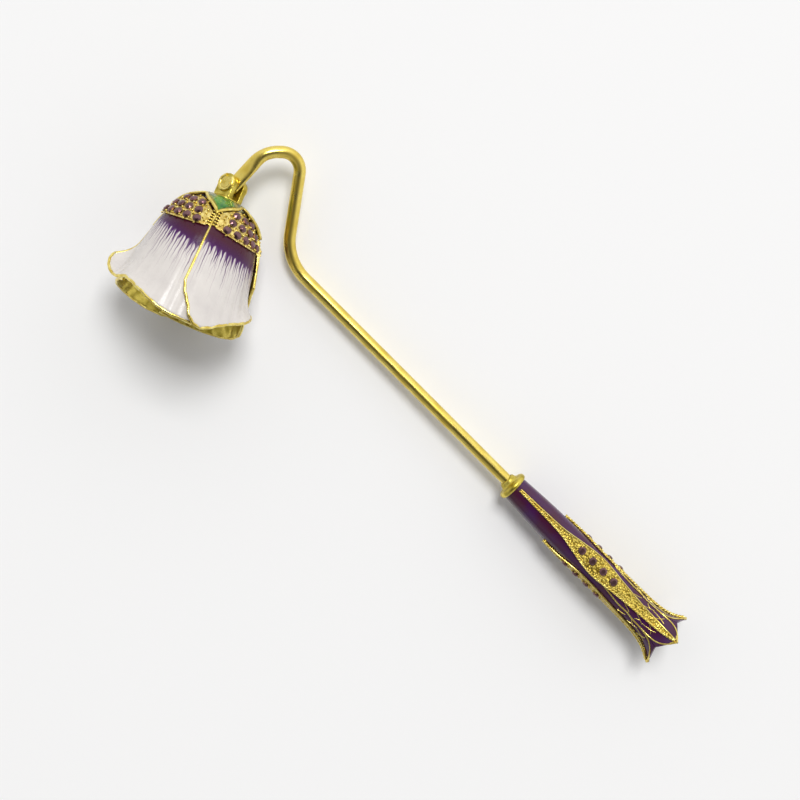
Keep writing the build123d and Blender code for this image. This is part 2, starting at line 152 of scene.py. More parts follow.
def along(points, count):
    """Evenly spread places on a smooth line through given points (tuples of any length)."""
    spans = len(points) - 1
    places = []
    for step in range(count):
        at = spans * step / (count - 1)
        span = min(int(at), spans - 1)
        t = at - span
        p0 = points[max(span - 1, 0)]
        p1 = points[span]
        p2 = points[span + 1]
        p3 = points[min(span + 2, spans)]
        places.append(tuple(
            0.5 * (2 * b + (c - a) * t + (2 * a - 5 * b + 4 * c - d) * t * t
                   + (3 * b - a - 3 * c + d) * t ** 3)
            for a, b, c, d in zip(p0, p1, p2, p3)))
    return places


def on_circle(radius, turn, height):
    """A point round a frame's Z axis, in millimetres; turn 0 lies on +Y."""
    angle = radians(turn)
    return Vector((-radius * sin(angle), radius * cos(angle), height))


def on_axis(frame_matrix, spot):
    """The place on a frame's Z axis that is level with a spot of the scene."""
    return frame_matrix @ Vector((0, 0, (frame_matrix.inverted() @ spot).z))


print("pieces go into the collection", scene_collection.name)

# %% [markdown]
# A finish is a small network of nodes. Helpers keep the networks short: one each for a node, a new
# material with its Principled shader, a colour ramp, a sum, a colour mix, and a node group.

# %% Helpers for finishes


def node(tree, kind, inputs=(), **settings):
    """A node with some settings and inputs; an input that is a socket is linked."""
    made = tree.nodes.new("ShaderNode" + kind)
    for key, value in settings.items():
        setattr(made, key, value)
    for key, value in dict(inputs).items():
        if isinstance(value, bpy.types.NodeSocket):
            tree.links.new(value, made.inputs[key])
        else:
            made.inputs[key].default_value = value
    return made


def new_finish(name, **constants):
    """A material with a Principled shader whose constant sockets are set straight away."""
    finish = bpy.data.materials.new(name)
    finish.use_nodes = True
    tree = finish.node_tree
    shader = tree.nodes["Principled BSDF"]
    for key, value in constants.items():
        shader.inputs[key.replace("_", " ")].default_value = value
    return finish, tree, shader


def ramp(tree, factor, *stops):
    """A colour ramp from (place, colour) stops."""
    made = tree.nodes.new("ShaderNodeValToRGB")
    tree.links.new(factor, made.inputs["Fac"])
    elements = made.color_ramp.elements
    while len(elements) < len(stops):
        elements.new(0.5)
    for element, (place, colour) in zip(elements, stops):
        element.position = place
        element.color = (*colour, 1)
    return made


def maths(tree, operation, *values):
    """A Math node; returns its output."""
    made = tree.nodes.new("ShaderNodeMath")
    made.operation = operation
    for socket, value in zip(made.inputs, values):
        if isinstance(value, bpy.types.NodeSocket):
            tree.links.new(value, socket)
        else:
            socket.default_value = value
    return made.outputs[0]


def mix(tree, factor, a, b):
    """A colour mix; returns its output."""
    made = tree.nodes.new("ShaderNodeMix")
    made.data_type = "RGBA"
    for name, value in (("Factor_Float", factor), ("A_Color", a), ("B_Color", b)):
        socket = next(s for s in made.inputs if s.identifier == name)
        if isinstance(value, bpy.types.NodeSocket):
            tree.links.new(value, socket)
        else:
            socket.default_value = (*value, 1) if isinstance(value, tuple) else value
    return next(s for s in made.outputs if s.identifier == "Result_Color")


def group_of(name, inputs, outputs):
    """A new shader node group with float inputs (name, value) and outputs (name, kind)."""
    group = bpy.data.node_groups.new(name, "ShaderNodeTree")
    for label, value in inputs:
        socket = group.interface.new_socket(label, in_out="INPUT", socket_type="NodeSocketFloat")
        socket.default_value = value
    for label, kind in outputs:
        group.interface.new_socket(label, in_out="OUTPUT", socket_type="NodeSocket" + kind)
    return group, group.nodes.new("NodeGroupInput"), group.nodes.new("NodeGroupOutput")


def place_group(tree, group, **values):
    """Places a node group and sets its inputs."""
    made = tree.nodes.new("ShaderNodeGroup")
    made.node_tree = group
    for key, value in values.items():
        made.inputs[key.replace("_", " ")].default_value = value
    return made


# %% [markdown]
# Cast and plated metal is never even: it has soft dents from casting, patches where the plating is
# duller, and fine grit. One group gives these three as a tone from 0 to 1, a roughness and a height,
# and every metal and enamel below places it with its own values.

# %% The cast skin group
cast_skin, skin_in, skin_out = group_of(
    "cast skin",
    (("Dent scale", 300.0), ("Grit scale", 4000.0), ("Roughness", 0.25), ("Spread", 0.1)),
    (("Tone", "Float"), ("Roughness", "Float"), ("Height", "Float")),
)
place = node(cast_skin, "TexCoord").outputs["Object"]
dents = node(cast_skin, "TexNoise", {"Vector": place, "Scale": skin_in.outputs["Dent scale"], "Detail": 3.0})
grit = node(cast_skin, "TexNoise", {"Vector": place, "Scale": skin_in.outputs["Grit scale"], "Detail": 2.0})
tone = ramp(cast_skin, dents.outputs["Fac"], (0.35, (0, 0, 0)), (0.65, (1, 1, 1)))
uneven = maths(cast_skin, "MULTIPLY", tone.outputs["Color"], skin_in.outputs["Spread"])
rough = maths(cast_skin, "ADD", uneven, skin_in.outputs["Roughness"])
fine = maths(cast_skin, "MULTIPLY", grit.outputs["Fac"], 0.15)
height = maths(cast_skin, "ADD", dents.outputs["Fac"], fine)
for label, value in (("Tone", tone.outputs["Color"]), ("Roughness", rough), ("Height", height)):
    cast_skin.links.new(value, skin_out.inputs[label])
print("group", cast_skin.name, "with", len(cast_skin.nodes), "nodes")


def give_relief(tree, shader, height, strength, distance):
    """Raises a finish by a height that changes over its surface."""
    relief = node(tree, "Bump", {"Height": height, "Strength": strength, "Distance": distance})
    tree.links.new(relief.outputs["Normal"], shader.inputs["Normal"])


def gold_finish(name, colour, dark, roughness, dent_scale, bump, bump_strength):
    """Plated gold: two tones of one metal over the cast skin."""
    finish, tree, shader = new_finish(name, Metallic=1.0)
    skin = place_group(tree, cast_skin, Dent_scale=dent_scale, Roughness=roughness, Spread=0.12)
    tree.links.new(mix(tree, skin.outputs["Tone"], colour, dark), shader.inputs["Base Color"])
    tree.links.new(skin.outputs["Roughness"], shader.inputs["Roughness"])
    give_relief(tree, shader, skin.outputs["Height"], bump_strength, bump)
    return finish


# %% [markdown]
# The metal is thin gold plate with a greenish cast. The rod is drawn wire and quite smooth, the bell's
# inside and the fittings are cast and a little rougher, and the wires that edge the enamel are the
# brightest because fingers and cloth polish what stands proud.

# %% Gold finishes
rod_gold = gold_finish("rod gold", (0.86, 0.69, 0.17), (0.70, 0.52, 0.09), 0.24, 180.0, 0.0001, 0.15)
cast_gold = gold_finish("cast gold", (0.74, 0.60, 0.12), (0.40, 0.31, 0.035), 0.26, 380.0, 0.0003, 0.4)
rim_gold = gold_finish("rim gold", (0.90, 0.77, 0.25), (0.66, 0.49, 0.09), 0.20, 500.0, 0.0002, 0.3)
bed_gold = gold_finish("bed gold", (0.92, 0.76, 0.28), (0.50, 0.34, 0.07), 0.22, 900.0, 0.0004, 0.5)


def grain_finish(name, colour, dark, scale):
    """Granulated gold: small round grains with dark joints between them."""
    finish, tree, shader = new_finish(name, Metallic=1.0)
    where = node(tree, "TexCoord").outputs["Object"]
    grains = node(tree, "TexVoronoi", {"Vector": where, "Scale": scale, "Randomness": 0.8})
    joints = ramp(tree, grains.outputs["Distance"], (0.25, (1, 1, 1)), (0.75, (0, 0, 0)))
    tree.links.new(mix(tree, joints.outputs["Color"], dark, colour), shader.inputs["Base Color"])
    skin = place_group(tree, cast_skin, Dent_scale=900.0, Roughness=0.24, Spread=0.14)
    tree.links.new(skin.outputs["Roughness"], shader.inputs["Roughness"])
    give_relief(tree, shader, joints.outputs["Color"], 0.8, 0.0003)
    return finish


grain_gold = grain_finish("grain gold", (0.82, 0.64, 0.13), (0.26, 0.17, 0.02), 1350.0)
print("gold finishes:", [m.name for m in bpy.data.materials if "gold" in m.name])

# %% [markdown]
# Enamel is coloured glass melted on metal. It pools in the cells between the wires, so its colour
# drifts from cell to cell, and its surface is glossy with the faint waves of something that was once
# liquid. A clear coat over a slightly rougher base gives the two layers.

# %% Enamel finishes


def enamel_finish(name, colour, second, dent_scale, gloss):
    """Glossy enamel whose colour drifts between two tones."""
    finish, tree, shader = new_finish(name, Coat_Weight=0.3, Coat_Roughness=0.06, Specular_IOR_Level=0.25)
    skin = place_group(tree, cast_skin, Dent_scale=dent_scale, Roughness=gloss, Spread=0.08)
    tree.links.new(mix(tree, skin.outputs["Tone"], colour, second), shader.inputs["Base Color"])
    tree.links.new(skin.outputs["Roughness"], shader.inputs["Roughness"])
    give_relief(tree, shader, skin.outputs["Height"], 0.25, 0.0004)
    return finish


plum_enamel = enamel_finish("plum enamel", (0.050, 0.010, 0.070), (0.058, 0.010, 0.030), 130.0, 0.12)


def streaks(tree, across, above, period, deepest, seed, point):
    """How much of the purple reaches a place: thin tapering lines, one to each period round the petal."""
    spot = node(tree, "CombineXYZ", {"X": across, "Y": above, "Z": seed}).outputs[0]
    wobble = node(tree, "TexNoise", {"Vector": spot, "Scale": 3.0, "Detail": 1.0})
    bend = maths(tree, "MULTIPLY", wobble.outputs["Fac"], 0.8)
    place = maths(tree, "ADD", maths(tree, "DIVIDE", across, period), bend)
    line = maths(tree, "ROUND", place)
    away = maths(tree, "ABSOLUTE", maths(tree, "SUBTRACT", place, line))
    spike = maths(tree, "POWER", maths(tree, "MULTIPLY_ADD", away, -2.0, 1.0), point)
    chance = node(tree, "TexWhiteNoise", noise_dimensions="1D")
    tree.links.new(maths(tree, "ADD", line, seed), chance.inputs["W"])
    length = maths(tree, "MULTIPLY_ADD", chance.outputs["Value"], deepest * 0.75, deepest * 0.25)
    return maths(tree, "MULTIPLY_ADD", spike, length, above)


def petal_finish():
    """White enamel under a purple crown whose streaks run down into the white."""
    finish, tree, shader = new_finish(
        "petal enamel", Coat_Weight=0.12, Coat_Roughness=0.1, Specular_IOR_Level=0.25)
    # The map's U runs round the petal and V up from the purple's lower edge, both in centimetres.
    where = node(tree, "UVMap", uv_map="petal").outputs["UV"]
    parts = node(tree, "SeparateXYZ", {"Vector": where})
    across, above = parts.outputs["X"], parts.outputs["Y"]
    wash = node(tree, "TexNoise", {"Vector": where, "Scale": 1.4, "Detail": 2.0})
    fingers = streaks(tree, across, above, 0.19, 0.60, 3.0, 2.8)
    lines = streaks(tree, across, above, 0.125, 1.40, 17.0, 3.6)
    hairs = streaks(tree, across, above, 0.08, 1.9, 41.0, 4.0)
    soft = []
    for value, sharp in ((fingers, 5.0), (lines, 4.0), (hairs, 3.0)):
        edge = maths(tree, "MULTIPLY_ADD", value, sharp, 0.5)
        soft.append(ramp(tree, edge, (0.38, (0, 0, 0)), (0.62, (1, 1, 1))).outputs["Color"])
    white = mix(tree, wash.outputs["Fac"], (0.71, 0.675, 0.63), (0.54, 0.505, 0.49))
    hair_tone = mix(tree, wash.outputs["Fac"], (0.26, 0.16, 0.27), (0.42, 0.32, 0.32))
    veined = mix(tree, maths(tree, "MULTIPLY", soft[2], 0.6), white, hair_tone)
    veined = mix(tree, maths(tree, "MULTIPLY", soft[1], 0.9), veined, (0.085, 0.02, 0.12))
    # Violet at the band's lower edge turns to maroon under the stones.
    depth = ramp(tree, maths(tree, "MULTIPLY_ADD", above, 1.6, 0.3),
                 (0.1, (0.075, 0.008, 0.14)), (0.40, (0.060, 0.004, 0.060)), (0.75, (0.065, 0.004, 0.012)))
    cloud = maths(tree, "MULTIPLY", wash.outputs["Fac"], 0.6)
    purple = mix(tree, cloud, depth.outputs["Color"], (0.022, 0.002, 0.034))
    tree.links.new(mix(tree, soft[0], veined, purple), shader.inputs["Base Color"])
    skin = place_group(tree, cast_skin, Dent_scale=220.0, Roughness=0.24, Spread=0.1)
    tree.links.new(skin.outputs["Roughness"], shader.inputs["Roughness"])
    ridged = maths(tree, "MULTIPLY_ADD", soft[1], -0.4, skin.outputs["Height"])
    give_relief(tree, shader, ridged, 0.35, 0.0003)
    return finish


petal_enamel = petal_finish()
print("enamel finishes:", [m.name for m in bpy.data.materials if "enamel" in m.name])

# %% [markdown]
# The stones are pressed glass on foil: dark mauve where they reflect the room's dark side and pink
# where a facet meets the lamp. Clear glass over a foil would need many bounces of light, so the finish
# is a mirror-like mauve with a clear coat, and flat facets do most of the work.

# %% Stone finish
stone_glass, tree, shader = new_finish("stone glass", Metallic=0.85, Coat_Weight=0.4, Coat_Roughness=0.02)
stone_place = node(tree, "TexCoord").outputs["Object"]
patches = node(tree, "TexNoise", {"Vector": stone_place, "Scale": 260.0, "Detail": 1.0})
mauve = mix(tree, patches.outputs["Fac"], (0.25, 0.115, 0.125), (0.07, 0.03, 0.035))
tree.links.new(mauve, shader.inputs["Base Color"])
sparkle = node(tree, "TexVoronoi", {"Vector": stone_place, "Scale": 1400.0})
gleam = maths(tree, "MULTIPLY_ADD", sparkle.outputs["Distance"], 0.15, 0.04)
tree.links.new(gleam, shader.inputs["Roughness"])
print(stone_glass.name, "with", len(tree.nodes), "nodes")

# %% [markdown]
# The petals come first. Each starts as a flat grid, and every grid point is then carried to its place
# on the bell: down the wall for one direction and round it for the other. A wall that flares and curls
# at the lip is easier to describe this way than to push and pull by hand. Solidify gives the petal its
# metal thickness, with gold on the inside and on the cut edges.

# %% The bell's wall and the petals' edges
mouth_depth = 41.6
mouth_radius = 20.7
wall_taper = 0.21
shoulder_above_mouth = 20.0
dome_height = 15.6
petal_top = 34.0
petal_lift = 1.05
petal_thickness = 0.8
lip_drop = 7.0
lip_reach = 6.0
curl_start = 0.7
petal_span = 110.0
shoulder_radius = mouth_radius - wall_taper * shoulder_above_mouth

# Each petal's lower edge: (turn from its free side, drop share, reach share)
petal_edges = (
    ((0, -0.86, 0.00), (4, -0.37, 0.00), (10, 0.05, 0.00), (14, 0.47, -0.02), (20, 0.74, -0.04),
     (26, 0.78, -0.04), (33, 0.62, 0.00), (42, 0.32, 0.06), (52, 0.05, 0.14), (60, -0.12, 0.26),
     (68, -0.30, 0.40), (76, -0.48, 0.46), (84, -0.66, 0.46), (90, -0.80, 0.40), (95, -0.82, 0.22),
     (99, -0.82, 0.06), (103, -0.82, 0.00), (110, -0.85, -0.08)),
    ((0, -2.00, 0.00), (5, -1.70, 0.00), (9, -1.20, 0.00), (13, -0.60, 0.04), (17, -0.10, 0.08),
     (22, 0.15, 0.10), (35, 0.35, 0.12), (50, 0.45, 0.12), (70, 0.50, 0.10), (86, 0.50, 0.02),
     (110, 0.45, -0.10)),
    ((0, 0.20, 0.10), (7, 0.40, 0.10), (15, 0.55, 0.12), (29, 0.55, 0.12), (45, 0.45, 0.14),
     (56, 0.35, 0.15), (70, 0.25, 0.12), (80, 0.20, 0.10), (90, 0.10, 0.10), (99, 0.00, 0.05),
     (110, 0.00, -0.08)),
    ((0, -0.95, 0.76), (3, -0.85, 0.84), (6, -0.62, 0.86), (10, -0.35, 0.76), (14, -0.12, 0.55),
     (18, 0.00, 0.36), (24, 0.05, 0.24), (36, -0.07, 0.20), (47, 0.05, 0.22), (59, 0.27, 0.20),
     (70, 0.50, 0.05), (80, 0.65, -0.06), (90, 0.72, -0.10), (110, 0.72, -0.14)),
)
# Where the purple's lower edge lies above the mouth line, from the free side to the tucked side
purple_edges = (
    (20.0, 19.2, 18.7, 19.9), (20.0, 19.4, 19.6, 19.6),
    (19.6, 19.2, 19.6, 20.5), (22.2, 21.2, 19.1, 16.4))


def wall_radius(above):
    """The bell's outer radius at a height above the mouth line."""
    if above <= shoulder_above_mouth:
        return mouth_radius - wall_taper * above
    share = min((above - shoulder_above_mouth) / dome_height, 1)
    taper = wall_taper * (above - shoulder_above_mouth) * (1 - share)
    return shoulder_radius * sqrt(1 - share * share) - taper


def wall_place(above, stand_out):
    """Radius and height off the wall's line, and the wall's normal as (across, up)."""
    lean = atan2(wall_radius(above - 0.05) - wall_radius(above + 0.05), 0.1)
    radius = wall_radius(above) + stand_out * cos(lean)
    return radius, above - mouth_depth + stand_out * sin(lean), cos(lean), sin(lean)


def table_at(table, turn):
    """Values of a table at a turn, with eased runs between its rows."""
    for index in range(len(table) - 1):
        if turn <= table[index + 1][0]:
            break
    here, there = table[index], table[index + 1]
    t = (turn - here[0]) / (there[0] - here[0])
    ease = t * t * (3 - 2 * t)
    mixed = 0.5 * (t + ease)
    return [a + (b - a) * mixed for a, b in zip(here[1:], there[1:])]


def lap_lift(turn_in):
    """How far a petal stands out: most at its free side, least where it tucks under."""
    return petal_lift * (petal_span - turn_in) / 90


def petal_place(number, turn_in, share, out):
    """A point of a petal's outer face in the scene, and its height above the mouth line."""
    drop, reach = table_at(petal_edges[number], turn_in)
    above = petal_top + (-drop * lip_drop - petal_top) * share
    curl = max(share - curl_start, 0) / (1 - curl_start)
    radius, height = wall_place(above, lap_lift(turn_in) + out)[:2]
    radius += reach * lip_reach * curl ** 3
    return bell_frame @ on_circle(radius, 90 * number + turn_in, height), above


print("wall radius at the mouth", mouth_radius, "and at the shoulder", round(shoulder_radius, 2))

# %% Petals
petal_columns = 60
petal_rows = 48
free_side_turn = 12.0
free_side_pull = 1.2
free_side_share = 0.55
rim_wire_radius = 0.5
rim_sunk = -0.38
rim_start_share = 0.05
rim_side_steps, rim_lip_steps = 80, 160
long_ripple, long_wave = 0.10, 0.55
short_ripple, short_wave = 0.06, 1.3
chart_step, chart_width = 7.3, 3.3


def make_petal(number):
    """One petal's outer face as a carried grid, made thick by Solidify."""
    bm = bmesh.new()
    bmesh.ops.create_grid(bm, x_segments=petal_columns, y_segments=petal_rows, size=0.5)
    chart = bm.loops.layers.uv.new("petal")
    flat = {vert: (vert.co.x + 0.5, vert.co.y + 0.5) for vert in bm.verts}
    above_band = {}
    band_edge = along([(above,) for above in purple_edges[number]], 31)
    for vert, (x, y) in flat.items():
        turn_in = petal_span * x
        ripple = long_ripple * sin(turn_in * long_wave + number) * y * y
        ripple += short_ripple * sin(turn_in * short_wave + 2 * number) * y
        spot, above = petal_place(number, turn_in, y, ripple)
        vert.co = spot
        above_band[vert] = (above - band_edge[min(round(30 * x), 30)][0]) / 10
        pull = free_side_pull * max(1 - turn_in / free_side_turn, 0) ** 2 * max(y - free_side_share, 0)
        vert.co += (spot - on_axis(bell_frame, spot)).normalized() * pull * mm
    for face in bm.faces:
        for loop in face.loops:
            x = flat[loop.vert][0]
            loop[chart].uv = (number * chart_step + x * chart_width, above_band[loop.vert])
    middle = bell_frame @ Vector((0, 0, -mouth_depth / 2))
    bmesh.ops.recalc_face_normals(bm, faces=bm.faces)
    face = min(bm.faces, key=lambda f: (f.calc_center_median() - middle).length)
    if face.normal.dot(face.calc_center_median() - middle) < 0:
        bmesh.ops.reverse_faces(bm, faces=bm.faces)
    piece = piece_from(f"petal_{number + 1}_enamel", bm, "bell", (petal_enamel, cast_gold))
    wall = piece.modifiers.new("metal", "SOLIDIFY")
    wall.thickness = petal_thickness * mm
    wall.offset = -1
    wall.use_even_offset = True
    wall.material_offset = 1
    wall.material_offset_rim = 1
    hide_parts(f"petal_{number + 1}")
    return piece


def petal_rim(number):
    """The rolled gold edge along a petal's free side and lip."""
    route = []
    for k in range(rim_side_steps + 1):
        share = rim_start_share + (1 - rim_start_share) * k / rim_side_steps
        out = rim_sunk + free_side_pull * max(share - free_side_share, 0)
        route.append(petal_place(number, 0, share, out)[0])
    lip_out = free_side_pull * (1 - free_side_share)
    for k in range(1, rim_lip_steps + 1):
        turn_in = petal_span * k / rim_lip_steps
        out = rim_sunk + lip_out * max(1 - turn_in / free_side_turn, 0) ** 2
        route.append(petal_place(number, turn_in, 1, out)[0])
    return route


for number in range(4):
    petal = make_petal(number)
    wire(f"petal_{number + 1}_rim", [petal_rim(number)], rim_wire_radius, "bell", rim_gold)
    print(petal.name, len(petal.data.polygons), "faces")

# %% [markdown]
# The solid model's own pieces keep their shapes where they are right. They only need their finishes,
# which replace whatever the model came with.

# %% Finishes for the solid model's pieces
cad_finishes = {
    "hook_rod": rod_gold, "rod_collar": cast_gold, "handle_body": plum_enamel, "handle_plug": cast_gold,
    "pivot_pin": rim_gold, "clevis": cast_gold, "bell_cup": cast_gold,
}
for number in range(1, 5):
    cad_finishes[f"petal_pave_{number}"] = bed_gold
    cad_finishes[f"petal_stones_{number}"] = stone_glass
    cad_finishes[f"handle_petal_{number}"] = plum_enamel
    cad_finishes[f"handle_leaf_{number}"] = grain_gold
    cad_finishes[f"leaf_stones_{number}"] = stone_glass
for name, finish in cad_finishes.items():
    solid = frame["nodes"][name]
    solid.data.materials.clear()
    solid.data.materials.append(finish)
print(len(cad_finishes), "solid pieces have their finish")

# %% [markdown]
# The handle's ornament is laid on its surface. A helper turns a place given as a height from the tips
# and a turn round the handle into a point on the enamel, so that a wire can be drawn as a short list
# of places, and the same list serves all four sides.

# %% The handle's surface
handle_length = 73.5
grip_radius = 5.45
collar_end_radius = 4.3
flare_length = 27.7
flare_rise = 4.85
flare_power = 5.5
grip_half_run = 15.0
valley_depth = 3.2
valley_power = 0.7


def handle_radius(height):
    """The handle's outer radius at a height at or below the tips."""
    from_flare = height + flare_length
    if from_flare > 0:
        return grip_radius + flare_rise * (min(from_flare, flare_length) / flare_length) ** flare_power
    past_grip = max(-from_flare - grip_half_run, 0)
    share = min(past_grip / (handle_length - flare_length - grip_half_run), 1)
    return grip_radius + (collar_end_radius - grip_radius) * share ** 2


def on_handle(height, turn, out):
    """A point of the scene on the handle's surface; turn is counted round from a petal's middle."""
    return handle_frame @ on_circle(handle_radius(height) + out, turn + handle_roll, height)


print("handle radius at the tips", round(handle_radius(0), 2), "and at the grip", grip_radius)

# Half the leaf's width in degrees of turn, from the collar to the tip
leaf_half_turns = (
    ((-72.4, 3), (-62, 5), (-53, 9), (-46, 20), (-39.5, 31),
     (-34, 33), (-26, 23), (-16, 14), (-7.5, 8.5), (-1.0, 1)),
    ((-54.4, 1), (-51, 4), (-47.5, 9), (-44, 18), (-39, 27),
     (-33, 28), (-26, 22), (-16, 14), (-7.5, 8.5), (-1.0, 1)),
)
# The wire between two petals: a stem, then two arms that part towards the two tips
stem_wire = ((-31, 30), (-27, 36), (-22, 42), (-18, 41), (-15, 45), (-11.0, 45))
arm_wire = ((-11.0, 45), (-8, 43), (-5.6, 38), (-3.7, 30), (-2.2, 20), (-1.1, 10), (-0.2, 0))
vein_wires = (((-15.5, 18), (-13, 27), (-11.5, 33)), ((-13, 27), (-14.2, 34), (-14.6, 39)),
              ((-10, 13), (-8.2, 24), (-7.2, 33)), ((-11.8, 30), (-9, 26), (-6.5, 18)),
              ((-20.5, 25), (-18.5, 31), (-17.5, 36)))


def roped(route, offset, pitch):
    """Two strands twisted round a route; returns their routes."""
    strands = ([], [])
    run = 0.0
    for index, spot in enumerate(route):
        before = route[max(index - 1, 0)]
        after = route[min(index + 1, len(route) - 1)]
        ahead = (after - before).normalized()
        side = ahead.cross(up).normalized()
        rise = side.cross(ahead)
        run += (spot - before).length / mm
        for strand, start in zip(strands, (0, pi)):
            angle = 2 * pi * run / pitch + start
            strand.append(spot + (side * cos(angle) + rise * sin(angle)) * offset * mm)
    return list(strands)


# %% [markdown]
# Each leaf is a thin gilt sheet that is dished between two raised edges. It starts as a grid whose
# long rows follow the handle and whose short rows wrap round it. One edge is a rope of two twisted
# strands and the other a plain wire, as on hand-finished filigree.

# %% Leaves and wires
leaf_rows = 120
leaf_columns = 10
leaf_rise = 0.7
leaf_dish = 0.25
leaf_thickness = 0.6
leaf_edge_rise = 0.5
leaf_end_share, leaf_end_rise_share = 0.08, 0.35
leaf_grit = 0.05
leaf_line_steps, rope_places = 240, 700
rope_strand_radius, rope_pitch = 0.2, 2.4
wire_rise, vein_rise, rim_rise = 0.12, 0.02, -0.35


def leaf_surface(side, share, x):
    """Height, turn and rise of a leaf at a share of its length and a place across it (-1 to 1)."""
    height, half = along_table(leaf_half_turns[side % 2], share)
    dish = leaf_dish * (1 - x * x)
    ends = min(share, 1 - share, leaf_end_share) / leaf_end_share
    rise_share = leaf_end_rise_share + (1 - leaf_end_rise_share) * ends
    return height, half * x, (leaf_rise - dish) * rise_share


def along_table(points, share):
    """One place on the smooth line through given points."""
    return along_cache(points)[min(int(share * leaf_line_steps), leaf_line_steps)]


leaf_lines = {}


def along_cache(points):
    """The finely divided line through some points, worked out once."""
    if points not in leaf_lines:
        leaf_lines[points] = along(points, leaf_line_steps + 1)
    return leaf_lines[points]


def make_leaf(side):
    """One gilt leaf laid on the shaft and its petal."""
    bm = bmesh.new()
    bmesh.ops.create_grid(bm, x_segments=leaf_columns, y_segments=leaf_rows, size=0.5)
    for vert in bm.verts:
        height, turn, rise = leaf_surface(side, vert.co.y + 0.5, vert.co.x * 2)
        grit = leaf_grit * noise.noise(Vector((height * 1.7, turn * 0.3, side)))
        vert.co = on_handle(height, turn + 90 * side, rise + grit)
    bmesh.ops.recalc_face_normals(bm, faces=bm.faces)
    outward = 0
    for face in bm.faces:
        middle = face.calc_center_median()
        outward += 1 if face.normal.dot(middle - on_axis(handle_frame, middle)) > 0 else -1
    if outward < 0:
        bmesh.ops.reverse_faces(bm, faces=bm.faces)
    piece = piece_from(f"leaf_{side + 1}", bm, "rod", (grain_gold,))
    wall = piece.modifiers.new("sheet", "SOLIDIFY")
    wall.thickness = leaf_thickness * mm
    wall.offset = -1
    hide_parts(f"handle_leaf_{side + 1}")


rope_routes = []
plain_routes = []
stem_routes = []
vein_routes = []
rim_routes = []
for side in range(4):
    make_leaf(side)
    edges = along_cache(leaf_half_turns[side % 2])
    rope_line = along([tuple(on_handle(h, w + 90 * side, leaf_edge_rise)) for h, w in edges],
                      rope_places)
    rope_routes += roped([Vector(p) for p in rope_line], rope_strand_radius, rope_pitch)
    plain_routes.append([on_handle(h, -w + 90 * side, leaf_edge_rise) for h, w in edges])
    for hand in (-1, 1):
        stem_routes.append([on_handle(h, hand * w + 90 * side, wire_rise) for h, w in along(arm_wire, 50)])
        for vein in vein_wires:
            vein_routes.append([on_handle(h, hand * w + 90 * side, vein_rise) for h, w in along(vein, 16)])
        edge = [(-valley_depth * (k / 80) ** valley_power, hand * 45 * k / 80) for k in range(21)]
        rim_routes.append([on_handle(height, turn + 90 * side, rim_rise) for height, turn in edge])
    stem_routes.append([on_handle(h, w + 90 * side, wire_rise) for h, w in along(stem_wire, 50)])
wire("leaf_ropes", rope_routes, 0.24, "rod", rim_gold, sides=2)
wire("leaf_edges", plain_routes, 0.3, "rod", rim_gold)
wire("petal_wires", stem_routes, 0.24, "rod", rim_gold)
wire("vein_wires", vein_routes, 0.13, "rod", rim_gold, sides=2)
wire("tip_rims", rim_routes, 0.42, "rod", rim_gold)
print(len(rope_routes), "rope strands,", len(stem_routes), "petal wires,", len(vein_routes), "veins")

# %% [markdown]
# A cut stone is a short cone with a flat table. Turning the table's ring by half a facet splits the
# crown into slanted triangles, which is what makes it twinkle. Each stone is turned and tipped a
# little, because hand-set stones never quite agree.

# %% Cut stones
stone_radius = 1.4
stone_facets = 10
stone_girdle, stone_crown = 0.35, 0.5
stone_foot_share, stone_table_share = 0.92, 0.56
stone_lean = 0.16
stone_turn, leaf_stone_turn = 0.7, 0.6


def add_stone(bm, seat, out, turn):
    """Adds one cut stone to a bmesh; seat and out are in the scene, turn is in radians."""
    lean = Vector((noise.random(), noise.random(), noise.random())) - Vector((0.5, 0.5, 0.5))
    axis = (out.normalized() + lean * stone_lean).normalized()
    upright = axis.to_track_quat("Z", "Y").to_matrix().to_4x4()
    to_scene = Matrix.Translation(seat) @ upright @ Matrix.Rotation(turn, 4, "Z")
    wide = stone_radius * mm
    base = bmesh.ops.create_cone(bm, cap_ends=True, segments=stone_facets, radius1=wide * stone_foot_share,
                                 radius2=wide, depth=stone_girdle * mm)
    bmesh.ops.translate(bm, verts=base["verts"], vec=(0, 0, stone_girdle * mm / 2))
    top = bmesh.ops.create_cone(bm, cap_ends=True, segments=stone_facets, radius1=wide,
                                radius2=wide * stone_table_share, depth=stone_crown * mm)
    table = [v for v in top["verts"] if v.co.z > 0]
    bmesh.ops.rotate(bm, verts=table, cent=(0, 0, 0), matrix=Matrix.Rotation(pi / stone_facets, 3, "Z"))
    bmesh.ops.translate(bm, verts=top["verts"], vec=(0, 0, (stone_girdle + stone_crown / 2) * mm))
    bmesh.ops.transform(bm, matrix=to_scene, verts=base["verts"] + top["verts"])


def finish_stones(name, bm, body, nodes):
    """Splits the slanted facets, turns all faces outwards and hands the stones over."""
    bmesh.ops.triangulate(bm, faces=[f for f in bm.faces if len(f.verts) == 4])
    bmesh.ops.recalc_face_normals(bm, faces=bm.faces)
    piece = piece_from(name, bm, body, (stone_glass,), smooth=False)
    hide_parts(*nodes)


def add_bead(bm, spot, radius):
    """Adds one gold bead."""
    bead = bmesh.ops.create_icosphere(bm, subdivisions=1, radius=radius * mm)
    bmesh.ops.translate(bm, verts=bead["verts"], vec=spot)


print("a stone is", 2 * stone_radius, "mm wide")

# %% [markdown]
# Twelve stones sit in each bed on a petal's shoulder, in rows of five, four and three. Small beads of
# gold hold them, and grains fill the bed between them, as a jeweller does by hand. Every bead and
# grain is a low icosphere, because there are hundreds. Larger grains close the lap between two beds.

